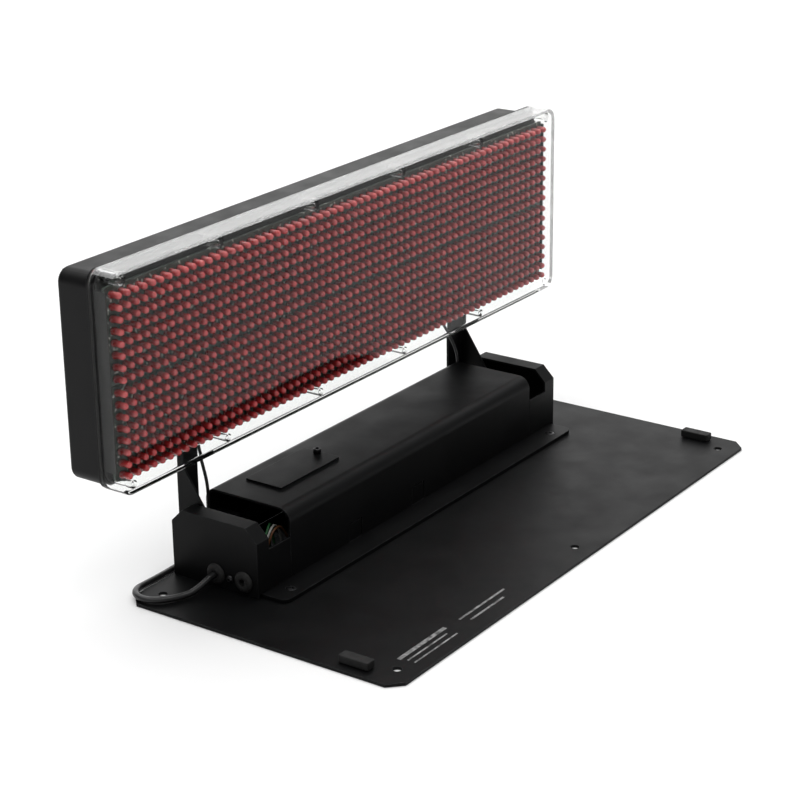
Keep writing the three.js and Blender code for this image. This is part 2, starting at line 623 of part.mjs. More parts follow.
function rearHousing() {
  const { width, height, rearY, wall, corner, edge, flange, lip } = HOUSING;
  const body = roundedRect(width, height, corner, 0, housingCentreZ);
  let housing = prism('y', body, flangeY - 10, rearY, edge, 3);
  housing = cut(housing, box(-300, 300, 0, flangeY, 0, 300));
  const rim = roundedRect(LID.width - lip, LID.height - lip, LID.corner, 0, lidCentreZ);
  housing = joined(housing, prism('y', rim, flangeY, flangeY + flange));
  const inside = roundedRect(width - 2 * wall, height - 2 * wall, corner - wall, 0, housingCentreZ);
  housing = cut(housing, prism('y', inside, flangeY - 1, rearY - wall));
  for (const [x, z] of postPlaces()) {
    const boss = rod('y', x, z, POST.boss, flangeY, rearY - 1, 12);
    housing = joined(housing, boss.intersect(prism('y', body, flangeY - 1, rearY)));
  }
  for (const [x, z] of postPlaces()) {
    housing = cut(housing, rod('y', x, z, POST.bore, flangeY - 1, rearY + 1, 8));
  }
  for (const [, side] of SIDES) {
    housing = cut(housing, rod('z', side * glandX(), glandY(), 2.1, housingBottomZ - 2, housingBottomZ + 5, 12));
    for (const x of footScrews()) {
      const y = ARM.rearY - ARM.thick - 5.5;
      housing = cut(housing, rod('z', side * x, y, 1.7, housingBottomZ - 2, housingBottomZ + 5, 12));
    }
  }
  add('rear_housing', housing, blackPlastic);
}

function glandX() {
  return ARM.innerX - 4.6;
}

function glandY() {
  return ARM.rearY + 1.2;
}

function boardCarrier() {
  const y0 = boardY + BOARD.thick + 4;
  let carrier = prism('y', roundedRect(493, 134, 8, 0, lidCentreZ), y0, y0 + 1.6);
  const wallFront = boardY - 2;
  for (const [, side] of SIDES) {
    carrier = joined(carrier, sideBox(side, 245.7, 246.5, wallFront, y0 + 1, 100, 216));
  }
  for (const [x, z] of [[-200, 110], [0, 110], [200, 110], [-200, 205], [0, 205], [200, 205]]) {
    carrier = joined(carrier, rod('y', x, z, 3, boardY + BOARD.thick + GAP, y0 + 0.5, 8));
  }
  for (const [x, z] of postPlaces()) {
    carrier = cut(carrier, rod('y', x, z, POST.radius + 0.6, y0 - 2, y0 + 4, 12));
  }
  add('board_carrier', carrier, blackPlastic);
}

function ledBoard(name, z0, z1) {
  const half = BOARD.width / 2;
  let board = box(-half, half, boardY, boardY + BOARD.thick, z0, z1);
  for (const [x, z] of postPlaces()) {
    board = cut(board, rod('y', x, z, POST.radius + 0.5, boardY - 2, boardY + 4, 12));
  }
  add(name, board, boardGreen);
}

// One half of the LED field: a thin base strip and a bar for each row, as wide as the row of LEDs.
function ledField(name, firstRow) {
  const halfX = ((COLUMNS - 1) * PITCH) / 2 + LED.size / 2;
  const rowZ = (row) => LED.bottomRowZ + row * PITCH + (row >= ROWS / 2 ? HALF_GAP : 0);
  const last = firstRow + ROWS / 2 - 1;
  const baseY = LED.tipY + LED.proud;
  let field = box(-halfX, halfX, baseY, baseY + LED.base, rowZ(firstRow) - LED.size / 2, rowZ(last) + LED.size / 2);
  for (let row = firstRow; row <= last; row += 1) {
    const z = rowZ(row);
    const r = LED.size / 2;
    const nose = outline([[LED.tipY + 1, z - r], [baseY + 0.5, z - r], [baseY + 0.5, z + r], [LED.tipY + 1, z + r],
      [LED.tipY, z + r * 0.5], [LED.tipY, z - r * 0.5]]);
    field = joined(field, prism('x', nose, -halfX, halfX));
  }
  add(name, field, ledRed);
}

function driverBoard() {
  const y0 = boardY + BOARD.thick + 4 + 1.6 + 3;
  const y1 = y0 + 1.6;
  const board = joined(
    box(-120, 120, y0, y1, 122, 196),
    box(-100, -80, y1 - 0.1, y1 + 3, 150, 170),
    box(-40, 20, y1 - 0.1, y1 + 6, 128, 138),
    box(60, 84, y1 - 0.1, y1 + 10, 150, 180),
    rod('y', 40, 180, 5, y1 - 0.1, y1 + 11, 14),
    rod('y', 26, 180, 5, y1 - 0.1, y1 + 11, 14),
  );
  add('driver_board', board, boardGreen);
}

function cableGlands() {
  for (const [name, side] of SIDES) {
    const x = side * glandX();
    const y = glandY();
    const body = cut(
      joined(
        rod('z', x, y, 3.2, housingBottomZ - 1.9, housingBottomZ - 0.3, 16),
        rod('z', x, y, 1.8, housingBottomZ - 0.5, housingBottomZ + 4, 12),
      ),
      rod('z', x, y, THIN_CABLE + GAP, housingBottomZ - 6, housingBottomZ + 8, 10),
    );
    add(`cable_gland_${name}`, body, blackPlastic);
  }
}

// ---------- cables held by the object ----------
// Each display cable leaves its gland, runs down beside the arm, behind the shaft, and into the box.
function displayCables() {
  const down = (side) => [
    [side * glandX(), glandY(), housingBottomZ + 1],
    [side * glandX(), glandY(), 82.5],
    [side * 144, 110.2, 76.5],
    [side * 146.4, 105, 67.5],
    [side * 147.6, 101.2, 57],
    [side * 147.8, 100.2, 46],
    [side * 148.3, 100.6, 36],
    [side * 148.6, 101.3, 25],
    [side * 148.5, 99.5, 15],
    [side * 148.3, 91, 9.2],
    [side * 148.2, 79, 8.2],
    [side * 143, 68, 8.2],
  ];
  const leftEnd = [[-136, 66, 9], [-130.6, 78, 12.5]];
  add('display_cable_left', tube([...down(-1), ...leftEnd], THIN_CABLE, 8, 32), rubber);
  const rightEnd = [[134, 52, 8.2], [118, 42, 7.6], [60, 40, 7.2], [0, 40, 7.2], [-38, 41, 8.4], [-49.4, 44.5, 13.2]];
  add('display_cable_right', tube([...down(1), ...rightEnd], THIN_CABLE, 8, 62), rubber);
}

// The supply cord's inner end, and its three cores up and over to the terminal block.
function supplyEnd() {
  const { cordY: y, z } = GROMMET;
  const outerEnd = -halfBox - GROMMET.proud;
  add('cord_inner_end', rod('x', y, z, CORD.radius, outerEnd, -170.3, 16), rubber);
  const cores = [['brown', -1.1, 0.7, 47.5], ['white', 0, -1.2, 54], ['green', 1.1, 0.7, 60.5]];
  cores.forEach(([name, dy, dz, endY], i) => {
    const shift = (i - 1) * 2.2;
    const points = [
      [-169.9, y + dy, z + dz],
      [-167, y + dy * 1.7 - 0.8, z + dz * 0.6 - 0.3],
      [-162 + shift * 0.8, 62 + shift * 0.8, 10.2],
      [-155.5 + shift * 0.6, 54 + shift, 15],
      [-151.5, 51 + shift, 25],
      [-147, 50 + shift, 33.5],
      [-141, (endY + 2 * (50 + shift)) / 3, 35.5],
      [-135, (2 * endY + 50 + shift) / 3, 30],
      [-131.2, endY, 22.5],
      [-130.2, endY, 16.5],
    ];
    add(`inner_core_${name}`, tube(points, CORD.coreRadius, 8, 22), coreColours[name]);
  });
}

// ---------- the free supply cord ----------
// Out of the grommet, round the corner bolt hole on the plate, and down to the floor behind the box.
const CORD_ROUTE = [
  [-182.8, 68.5, 12],
  [-188, 68.8, 11.1],
  [-194, 70.2, 8.2],
  [-200, 72.6, 5.5],
  [-206, 75.4, 4.6],
  [-212.5, 78.9, 4.5],
  [-218.7, 84.2, 4.5],
  [-222.4, 91.3, 4.5],
  [-221.9, 98.9, 4.5],
  [-217.4, 105, 4.3],
  [-210.6, 108.5, 3.4],
  [-203, 109.5, 2.7],
  [-194, 109.6, 2.5],
  [-182, 109.7, 2.5],
  [-160, 110.6, 2.5],
  [-134, 112.4, 2.5],
  [-110, 113.2, 2.9],
  [-91.3, 112.1, 3.4],
];

function supplyCord() {
  add('power_cord', tube(CORD_ROUTE, CORD.radius, 8, 30), rubber);
  const d = 2 * CORD.radius;
  const halfWidth = HANK.bend + (HANK.columns - 0.5) * d;
  const z0 = 1.2;
  const z1 = z0 + HANK.rows * d;
  const shape = roundedRect(HANK.run + 2 * halfWidth, 2 * halfWidth, halfWidth - 0.01, HANK.x, HANK.y);
  add('cord_hank', prism('z', shape, z0, z1), rubber);

  const band = 0.8;
  const tie = cut(
    box(HANK.x - 5, HANK.x + 5, HANK.y - halfWidth - GAP - band, HANK.y + halfWidth + GAP + band, 0.1, z1 + GAP + band),
    box(HANK.x - 6, HANK.x + 6, HANK.y - halfWidth - GAP, HANK.y + halfWidth + GAP, 0.1 + band, z1 + GAP),
  );
  add('cord_tie', tie, blackPlastic);
}

// The far end is bare: the sheath stops and three cores fan out.
const TAIL_ROUTE = [
  [HANK.x + 56.2, 112, 7.9],
  [HANK.x + 65, 112.4, 6.9],
  [HANK.x + 76, 113.5, 4.7],
  [HANK.x + 88, 115.2, 2.9],
  [HANK.x + 100, 116.8, 2.5],
  [HANK.x + 112, 118.2, 2.5],
];

function cordTail() {
  add('cord_tail', tube(TAIL_ROUTE, CORD.radius, 8, 10), rubber);
  const [x, y, z] = TAIL_ROUTE[TAIL_ROUTE.length - 1];
  const fan = { green: [1.1, 8, 0.6], brown: [0, 0.5, -0.9], white: [-1.1, -7, 0.6] };
  for (const [name, [dy, spread, dz]] of Object.entries(fan)) {
    const points = [
      [x + 0.4, y + dy, z + dz],
      [x + 8, y + dy + spread * 0.2, z + dz * 0.6],
      [x + 20, y + dy + spread * 0.6, 1.1],
      [x + 36, y + dy + spread, 1.1],
    ];
    add(`tail_core_${name}`, tube(points, CORD.coreRadius, 8, 10), coreColours[name]);
  }
}

basePlate();
restPads();
mechanismTray();
flangeScrews();
endCheeks();
grommet('cord_grommet', GROMMET.cordY);
grommet('blank_grommet', GROMMET.blankY);
cheekScrew();
topCover();
serviceHatch();
hingeShaft();
bearings();
arms();
driveGears();
gearMotor();
limitStops();
controller();
clearLid();
lidSeal();
rearHousing();
boardCarrier();
ledBoard('led_board_lower', LED.bottomRowZ - BOARD.bottom, splitZ - 0.2);
ledBoard('led_board_upper', splitZ + 0.2, topRowZ + BOARD.top);
ledField('led_field_lower', 0);
ledField('led_field_upper', ROWS / 2);
driverBoard();
cableGlands();
displayCables();
supplyEnd();
supplyCord();
cordTail();

export default object;
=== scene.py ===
"""Looks for a fold-up LED message display, built round its frame. Metres, +Z up."""

import math
import random

import bmesh
import bpy
from mathutils import Matrix, Vector


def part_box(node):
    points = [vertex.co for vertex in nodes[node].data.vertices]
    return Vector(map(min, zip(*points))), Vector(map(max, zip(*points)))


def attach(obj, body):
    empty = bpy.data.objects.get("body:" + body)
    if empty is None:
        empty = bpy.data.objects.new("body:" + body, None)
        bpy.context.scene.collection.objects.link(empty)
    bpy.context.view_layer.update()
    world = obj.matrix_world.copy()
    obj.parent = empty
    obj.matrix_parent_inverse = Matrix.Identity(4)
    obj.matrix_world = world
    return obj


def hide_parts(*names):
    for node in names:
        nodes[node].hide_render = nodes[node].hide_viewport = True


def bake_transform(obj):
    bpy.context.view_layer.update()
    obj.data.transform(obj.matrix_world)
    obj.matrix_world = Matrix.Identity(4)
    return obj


MM = 0.001
RANDOM = random.Random(7)

# The LEDs, in mm: the step from one to the next, then places along Y, then how far in their painted shade
# deepens.
LED_PITCH = 7.62
LED_TIP = 81.2
LED_FOOT = 89.05
LED_SHADE_DEPTH = 7.6

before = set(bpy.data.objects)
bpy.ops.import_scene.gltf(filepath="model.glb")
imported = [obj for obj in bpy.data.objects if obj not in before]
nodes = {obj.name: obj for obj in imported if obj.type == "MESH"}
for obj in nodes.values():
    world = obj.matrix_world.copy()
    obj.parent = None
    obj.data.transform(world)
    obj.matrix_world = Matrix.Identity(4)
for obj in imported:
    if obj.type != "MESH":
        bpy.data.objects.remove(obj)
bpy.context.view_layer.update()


# ---------- camera ----------
CAMERA_PLACE = (-1.1380, -0.7546, 0.6118)
CAMERA_RIGHT = (0.57330, -0.81930, -0.01240)
CAMERA_UP = (0.30010, 0.19590, 0.93360)
CAMERA_LENS = 97.37


def make_camera():
    data = bpy.data.cameras.new("camera")
    data.sensor_width = 36
    data.lens = CAMERA_LENS
    data.clip_start = 0.05
    data.clip_end = 60
    camera = bpy.data.objects.new("camera", data)
    bpy.context.scene.collection.objects.link(camera)
    right = Vector(CAMERA_RIGHT)
    up = Vector(CAMERA_UP)
    back = right.cross(up).normalized()
    right = up.cross(back).normalized()
    turn = Matrix((right, up.normalized(), back)).transposed().to_4x4()
    camera.matrix_world = Matrix.Translation(CAMERA_PLACE) @ turn
    bpy.context.scene.camera = camera


make_camera()


# ---------- small helpers ----------
def link(obj):
    bpy.context.scene.collection.objects.link(obj)
    return obj


def metres(points):
    return [Vector(p) * MM for p in points]


def smooth_line(points, per_span=8):
    """A Catmull-Rom line through given points."""
    ends = [points[0] * 2 - points[1], *points, points[-1] * 2 - points[-2]]
    line = []
    for a, b, c, d in zip(ends, ends[1:], ends[2:], ends[3:]):
        for i in range(per_span):
            t = i / per_span
            slope = (c - a) * t
            bend = (2 * a - 5 * b + 4 * c - d) * t**2
            change = (3 * b - a - 3 * c + d) * t**3
            line.append(0.5 * (2 * b + slope + bend + change))
    return [*line, points[-1]]


def line_length(line):
    return sum((b - a).length for a, b in zip(line, line[1:]))


def even_line(line, step):
    """The same line with its points evenly spaced, about a step apart."""
    length = line_length(line)
    count = max(2, round(length / step))
    found = []
    gone = 0.0
    k = 0
    for i in range(count + 1):
        wanted = length * i / count
        while k < len(line) - 2 and gone + (line[k + 1] - line[k]).length < wanted:
            gone += (line[k + 1] - line[k]).length
            k += 1
        span = (line[k + 1] - line[k]).length
        found.append(line[k].lerp(line[k + 1], min(1, (wanted - gone) / span)))
    return found


def tube_mesh(name, line, radius, sides=12):
    """A round tube whose rings don't twist, with slightly rounded ends."""
    bm = bmesh.new()
    rings = []
    tangent = (line[1] - line[0]).normalized()
    side = tangent.orthogonal().normalized()
    places = []
    for i, p in enumerate(line):
        before = line[max(0, i - 1)]
        after = line[min(len(line) - 1, i + 1)]
        t = (after - before).normalized()
        side = (side - t * side.dot(t)).normalized()
        places.append((p, t, side.copy(), radius))
    first = places[0]
    last = places[-1]
    cap = radius * 0.22
    end_radius = radius * 0.78
    places[0] = (first[0] + first[1] * cap, first[1], first[2], radius)
    places[-1] = (last[0] - last[1] * cap, last[1], last[2], radius)
    places.insert(0, (first[0], first[1], first[2], end_radius))
    places.append((last[0], last[1], last[2], end_radius))
    for p, t, s, r in places:
        other = t.cross(s)
        ring = []
        for k in range(sides):
            angle = 2 * math.pi * k / sides
            ring.append(bm.verts.new(p + (s * math.cos(angle) + other * math.sin(angle)) * r))
        rings.append(ring)
    for a, b in zip(rings, rings[1:]):
        for k in range(sides):
            n = (k + 1) % sides
            bm.faces.new((a[k], a[n], b[n], b[k]))
    bm.faces.new(list(reversed(rings[0])))
    bm.faces.new(rings[-1])
    return finish_mesh(name, bm)


def finish_mesh(name, bm, sharp=35):
    """Turns a bmesh into a linked object, smooth except across sharp edges."""
    bmesh.ops.recalc_face_normals(bm, faces=bm.faces)
    for face in bm.faces:
        face.smooth = True
    for edge in bm.edges:
        if len(edge.link_faces) == 2 and edge.calc_face_angle(0) > math.radians(sharp):
            edge.smooth = False
    mesh = bpy.data.meshes.new(name)
    bm.to_mesh(mesh)
    bm.free()
    return link(bpy.data.objects.new(name, mesh))


def dress(obj, body, material, slot, *replaced):
    """Gives a piece its material and body, and hides the frame nodes that it stands for. The slot argument
    is not used.
    """
    obj.data.materials.clear()
    obj.data.materials.append(material)
    if body:
        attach(obj, body)
    if replaced:
        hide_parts(*replaced)
    return obj


# ---------- materials ----------
class Shader:
    """One node material with its Principled BSDF, and short calls to wire it up."""

    def __init__(self, name):
        self.material = bpy.data.materials.new(name)
        self.material.use_nodes = True
        self.tree = self.material.node_tree
        self.tree.nodes.clear()
        self.out = self.add("ShaderNodeOutputMaterial")
        self.bsdf = self.add("ShaderNodeBsdfPrincipled")
        self.tree.links.new(self.bsdf.outputs[0], self.out.inputs["Surface"])
        self.where = self.add("ShaderNodeTexCoord").outputs["Object"]

    def add(self, kind, **settings):
        node = self.tree.nodes.new(kind)
        for key, value in settings.items():
            setattr(node, key, value)
        return node

    def join(self, source, target):
        self.tree.links.new(source, target)

    def noise(self, scale, detail=2.0, roughness=0.5, stretch=None):
        node = self.add("ShaderNodeTexNoise")
        node.inputs["Scale"].default_value = scale
        node.inputs["Detail"].default_value = detail
        node.inputs["Roughness"].default_value = roughness
        where = self.where
        if stretch:
            mapping = self.add("ShaderNodeMapping")
            mapping.inputs["Scale"].default_value = stretch
            self.join(where, mapping.inputs["Vector"])
            where = mapping.outputs[0]
        self.join(where, node.inputs["Vector"])
        return node.outputs[0]

    def ramp(self, factor, stops):
        """Colours or greys at places from 0 to 1."""
        node = self.add("ShaderNodeValToRGB")
        ramp = node.color_ramp
        while len(ramp.elements) < len(stops):
            ramp.elements.new(0.5)
        for element, (place, value) in zip(ramp.elements, stops):
            element.position = place
            element.color = (*value, 1) if isinstance(value, tuple) else (value, value, value, 1)
        self.join(factor, node.inputs[0])
        return node.outputs[0]

    def mix(self, factor, a, b, blend="MIX"):
        node = self.add("ShaderNodeMix", data_type="RGBA", blend_type=blend)
        for socket, value in ((node.inputs[0], factor), (node.inputs[6], a), (node.inputs[7], b)):
            if hasattr(value, "links"):
                self.join(value, socket)
            elif isinstance(value, tuple):
                socket.default_value = (*value, 1)
            else:
                socket.default_value = value
        return node.outputs[2]

    def math(self, kind, a, b=0.0):
        node = self.add("ShaderNodeMath", operation=kind)
        for socket, value in zip(node.inputs, (a, b)):
            if hasattr(value, "links"):
                self.join(value, socket)
            else:
                socket.default_value = value
        return node.outputs[0]

    def bump(self, height, strength, distance, normal=None):
        node = self.add("ShaderNodeBump")
        node.inputs["Strength"].default_value = strength
        node.inputs["Distance"].default_value = distance
        self.join(height, node.inputs["Height"])
        if normal is not None:
            self.join(normal, node.inputs["Normal"])
        return node.outputs[0]

    def rounded(self, radius):
        node = self.add("ShaderNodeBevel", samples=4)
        node.inputs["Radius"].default_value = radius
        return node.outputs[0]

    def edges(self, radius):
        """1 on the edges within a radius, 0 on flat faces."""
        node = self.add("ShaderNodeVectorMath", operation="DOT_PRODUCT")
        self.join(self.rounded(radius), node.inputs[0])
        self.join(self.add("ShaderNodeNewGeometry").outputs["True Normal"], node.inputs[1])
        return self.ramp(node.outputs["Value"], [(0.90, 1.0), (0.995, 0.0)])

    def set(self, **values):
        for key, value in values.items():
            socket = self.bsdf.inputs[key.replace("_", " ")]
            if hasattr(value, "links"):
                self.join(value, socket)
            elif isinstance(value, tuple):
                socket.default_value = (*value, 1)
            else:
                socket.default_value = value
        return self


def powder_coat():
    """Satin black powder coat: orange peel, faint clouds, dust specks, and edges a little lighter, partly
    rubbed wear and partly a painted highlight.
    """
    s = Shader("powder coat")
    clouds = s.noise(9, 3)
    base = s.ramp(clouds, [(0.3, (0.0026, 0.0027, 0.0030)), (0.7, (0.0042, 0.0043, 0.0046))])
    # Lighter edges: partly rubbed wear, partly a painted highlight along the edges.
    worn = s.math("MULTIPLY", s.edges(0.0007), s.ramp(s.noise(160, 3), [(0.35, 0.2), (0.7, 0.9)]))
    base = s.mix(worn, base, (0.05, 0.051, 0.053))
    specks = s.ramp(s.noise(1500, 1), [(0.74, 0.0), (0.80, 0.55)])
    base = s.mix(specks, base, (0.03, 0.03, 0.031))
    rough = s.ramp(s.noise(35, 4), [(0.3, 0.40), (0.7, 0.52)])
    peel = s.bump(s.noise(1300, 2), 0.22, 0.00012, s.rounded(0.0004))
    return s.set(Base_Color=base, Roughness=rough, Specular_IOR_Level=0.11, Normal=peel).material


def moulded_plastic(name, dark, light, rough_low, rough_high, level=0.5):
    """Moulded plastic with a fine spark-eroded texture."""
    s = Shader(name)
    base = s.ramp(s.noise(14, 3), [(0.3, dark), (0.7, light)])
    # Lighter edges: partly rubbed wear, partly a painted highlight along the edges.
    worn = s.math("MULTIPLY", s.edges(0.0006), 0.35)
    base = s.mix(worn, base, tuple(min(1, c * 2.6 + 0.01) for c in light))
    rough = s.ramp(s.noise(60, 4), [(0.3, rough_low), (0.7, rough_high)])
    grain = s.bump(s.noise(2400, 2), 0.16, 0.00008, s.rounded(0.0003))
    return s.set(Base_Color=base, Roughness=rough, Specular_IOR_Level=level, Normal=grain).material


def rubber(name, shade, roughness=0.72):
    s = Shader(name)
    dark = (shade, shade, shade)
    light = (shade * 1.9, shade * 1.9, shade * 1.85)
    base = s.ramp(s.noise(45, 4), [(0.3, dark), (0.75, light)])
    rough = s.ramp(s.noise(220, 3), [(0.3, roughness - 0.08), (0.7, roughness + 0.1)])
    grain = s.bump(s.noise(900, 3), 0.25, 0.00012)
    return s.set(Base_Color=base, Roughness=rough, Specular_IOR_Level=0.35, Normal=grain).material


def cable_sheath(name, colour, roughness=0.38):
    """Extruded PVC: a soft sheen with faint ripples and handling marks."""
    s = Shader(name)
    light = tuple(min(1, c * 1.35 + 0.004) for c in colour)
    base = s.ramp(s.noise(70, 3), [(0.3, colour), (0.75, light)])
    rough = s.ramp(s.noise(260, 3), [(0.3, roughness - 0.06), (0.7, roughness + 0.12)])
    ripple = s.bump(s.noise(500, 2), 0.12, 0.0001)
    return s.set(Base_Color=base, Roughness=rough, Specular_IOR_Level=0.5, Normal=ripple).material


def plated_steel(name, dark, light, roughness):
    s = Shader(name)
    base = s.ramp(s.noise(90, 4), [(0.3, dark), (0.7, light)])
    brushed = s.noise(60, 3, stretch=(1, 18, 18))
    rough = s.ramp(brushed, [(0.25, roughness - 0.08), (0.75, roughness + 0.12)])
    scratches = s.bump(s.noise(300, 3, stretch=(1, 12, 12)), 0.1, 0.00005, s.rounded(0.0002))
    return s.set(Base_Color=base, Metallic=1.0, Roughness=rough, Normal=scratches).material


def circuit_board(name, dark, light):
    """Solder resist over fine tracks, with pale pads."""
    s = Shader(name)
    tracks = s.add("ShaderNodeTexBrick")
    tracks.inputs["Scale"].default_value = 55
    tracks.inputs["Mortar Size"].default_value = 0.06
    tracks.inputs["Color1"].default_value = (*dark, 1)
    tracks.inputs["Color2"].default_value = (*light, 1)
    tracks.inputs["Mortar"].default_value = (*(c * 0.6 for c in dark), 1)
    mapping = s.add("ShaderNodeMapping")
    mapping.inputs["Rotation"].default_value = (math.radians(90), 0, 0)
    s.join(s.where, mapping.inputs["Vector"])
    s.join(mapping.outputs[0], tracks.inputs["Vector"])
    base = s.mix(0.5, tracks.outputs[0], s.ramp(s.noise(300, 3), [(0.4, dark), (0.6, light)]))
    specks = s.ramp(s.noise(420, 0), [(0.72, 0.0), (0.76, 1.0)])
    base = s.mix(specks, base, (0.30, 0.30, 0.27))
    rough = s.ramp(s.noise(120, 3), [(0.3, 0.32), (0.7, 0.5)])
    bumps = s.bump(tracks.outputs[0], 0.2, 0.00005)
    return s.set(Base_Color=base, Roughness=rough, Normal=bumps).material


def led_plastic(pitch):
    """Tinted LED lenses, each with its own slight tint, painted paler at the tip and with painted shade
    darkening them towards the board.
    """
    s = Shader("red LED lens")
    cell = s.add("ShaderNodeVectorMath", operation="SNAP")
    cell.inputs[1].default_value = (pitch, 1, pitch)
    s.join(s.where, cell.inputs[0])
    own = s.add("ShaderNodeTexWhiteNoise")
    s.join(cell.outputs[0], own.inputs["Vector"])
    split = s.add("ShaderNodeSeparateXYZ")
    s.join(s.where, split.inputs[0])
    from_tip = s.math("SUBTRACT", split.outputs["Y"], LED_TIP * MM)
    depth = s.math("MULTIPLY", from_tip, 1 / (LED_SHADE_DEPTH * MM))
    # Painted light and shade along each LED: lighter at the tip, darker down towards the board, where the
    # packed LEDs shade one another.
    painted_light_tip = (0.60, 0.075, 0.08)
    middle = (0.38, 0.022, 0.024)
    painted_shade_foot = (0.12, 0.007, 0.008)
    body = s.ramp(depth, [(0.0, painted_light_tip), (0.3, middle), (1.0, painted_shade_foot)])
    shade = s.ramp(own.outputs["Value"], [(0.0, 0.72), (1.0, 1.0)])
    base = s.mix(1.0, body, shade, blend="MULTIPLY")
    haze = s.noise(900, 2)
    rough = s.ramp(haze, [(0.3, 0.12), (0.7, 0.24)])
    ripple = s.bump(haze, 0.08, 0.0001)
    s.set(Base_Color=base, Roughness=rough, Normal=ripple, Subsurface_Weight=0.25, Subsurface_Scale=0.002)
    s.set(Coat_Weight=0.3, Coat_Roughness=0.05, IOR=1.52)
    return s.material


def clear_plastic(name, index, cover, body):
    """Clear moulded lid, which lets lamp light through, with faint haze and hairline marks."""
    s = Shader(name)
    marks = s.ramp(s.noise(130, 4, stretch=(1, 1, 4)), [(0.45, 0.02), (0.8, 0.07)])
    waves = s.bump(s.noise(22, 2), 0.06, 0.0004)
    s.set(Base_Color=(0.985, 0.99, 0.985), Roughness=marks, Normal=waves)
    s.set(IOR=index, Transmission_Weight=body, Alpha=cover)
    see = s.add("ShaderNodeBsdfTransparent")
    see.inputs["Color"].default_value = (0.95, 0.96, 0.955, 1)
    path = s.add("ShaderNodeLightPath")
    mixed = s.add("ShaderNodeMixShader")
    s.join(path.outputs["Is Shadow Ray"], mixed.inputs[0])
    s.join(s.bsdf.outputs[0], mixed.inputs[1])
    s.join(see.outputs[0], mixed.inputs[2])
    s.join(mixed.outputs[0], s.out.inputs["Surface"])
    return s.material


COAT = powder_coat()
HOUSING = moulded_plastic(
    "housing plastic", (0.0035, 0.0035, 0.0037), (0.0055, 0.0055, 0.0057), 0.34, 0.46, 0.12
)
BLACK = moulded_plastic("black plastic", (0.008, 0.008, 0.008), (0.013, 0.013, 0.013), 0.4, 0.55, 0.3)
GREY = moulded_plastic("grey plastic", (0.09, 0.095, 0.1), (0.14, 0.145, 0.15), 0.4, 0.55)
PAD = rubber("rubber pad", 0.006)
SOFT = rubber("soft rubber", 0.007, 0.6)
SHEATH = cable_sheath("cord sheath", (0.006, 0.006, 0.0065))
ZINC = plated_steel("zinc plate", (0.42, 0.43, 0.45), (0.58, 0.59, 0.6), 0.32)
BLACK_SCREW = plated_steel("black oxide", (0.035, 0.035, 0.037), (0.07, 0.07, 0.072), 0.36)
BRONZE = plated_steel("bronze", (0.42, 0.26, 0.11), (0.56, 0.36, 0.16), 0.34)
BOARD = circuit_board("circuit board", (0.004, 0.013, 0.008), (0.007, 0.024, 0.014))
LED = led_plastic(LED_PITCH * MM)
CLEAR = clear_plastic("clear plastic", 1.16, 1.0, 1.0)
# A paler, milkier copy of the clear plastic for the lid's top and right walls: painted light for the light
# they catch.
CLEAR_WALL_PAINTED_LIGHT = clear_plastic("clear plastic wall", 1.49, 0.8, 0.9)
# The white and green cores are coloured darker than their insulation: painted shade, for the shadow they lie
# in inside the box.
CORES = {
    "green": cable_sheath("green core", (0.02, 0.11, 0.035), 0.42),
    "brown": cable_sheath("brown core", (0.11, 0.042, 0.014), 0.42),
    "white": cable_sheath("white core", (0.38, 0.38, 0.35), 0.42),
}

# ---------- the supply cord, from the grommet to its bare end ----------
CORD_RADIUS = 2.25
ROUTE_IN = [
    (-182.8, 68.5, 12), (-188, 68.8, 11.1), (-194, 70.2, 8.2), (-200, 72.6, 5.5), (-206, 75.4, 4.6),
    (-212.5, 78.9, 4.5), (-218.7, 84.2, 4.5), (-222.4, 91.3, 4.5), (-221.9, 98.9, 4.5), (-217.4, 105, 4.3),
    (-210.6, 108.5, 3.4), (-203, 109.5, 2.7), (-194, 109.6, 2.5), (-182, 109.7, 2.5), (-160, 110.6, 2.5),
    (-134, 112.4, 2.5), (-110, 113.2, 2.9), (-91.3, 112.1, 3.4),
]
ROUTE_OUT = [
    (21.2, 112, 7.9), (30, 112.4, 6.9), (41, 113.5, 4.7), (53, 115.2, 2.9), (65, 116.8, 2.5),
    (77, 118.2, 2.5),
]
HANK = {"x": -35.0, "y": 130.0, "run": 85.0, "bend": 13.5, "z": 3.45}
# Which strand each turn takes: (column, row), columns counted outwards and rows upwards.
HANK_TURNS = [(1, 0), (0, 0), (0, 1), (0, 2), (1, 2), (1, 1)]


def ease(t):
    t = min(1.0, max(0.0, t))
    return t * t * (3 - 2 * t)


def hank_line():
    """The bundled turns, each moving to the next strand along its rear run, the last turn first."""
    d = 2 * CORD_RADIUS
    half = HANK["run"] / 2
    points = []
    for turn, (column, row) in enumerate(HANK_TURNS):
        radius = HANK["bend"] + column * d
        z = HANK["z"] + row * d
        for i in range(7):
            x = -half + HANK["run"] * i / 6
            points.append((HANK["x"] + x, HANK["y"] - radius, z))
        if turn == len(HANK_TURNS) - 1:
            break
        for i in range(1, 8):
            angle = -math.pi / 2 + math.pi * i / 8
            points.append(
                (HANK["x"] + half + radius * math.cos(angle), HANK["y"] + radius * math.sin(angle), z)
            )
        next_column, next_row = HANK_TURNS[turn + 1]
        start = 0.15 * (len(HANK_TURNS) - 2 - turn)
        for i in range(13):
            t = i / 12
            part = ease((t - start) / 0.4)
            reach = radius + (next_column - column) * d * part
            rise = z + (next_row - row) * d * part
            points.append((HANK["x"] + half - HANK["run"] * t, HANK["y"] + reach, rise))
        radius = HANK["bend"] + next_column * d
        z = HANK["z"] + next_row * d
        for i in range(1, 8):
            angle = math.pi / 2 + math.pi * i / 8
            points.append(
                (HANK["x"] - half + radius * math.cos(angle), HANK["y"] + radius * math.sin(angle), z)
            )
    return points


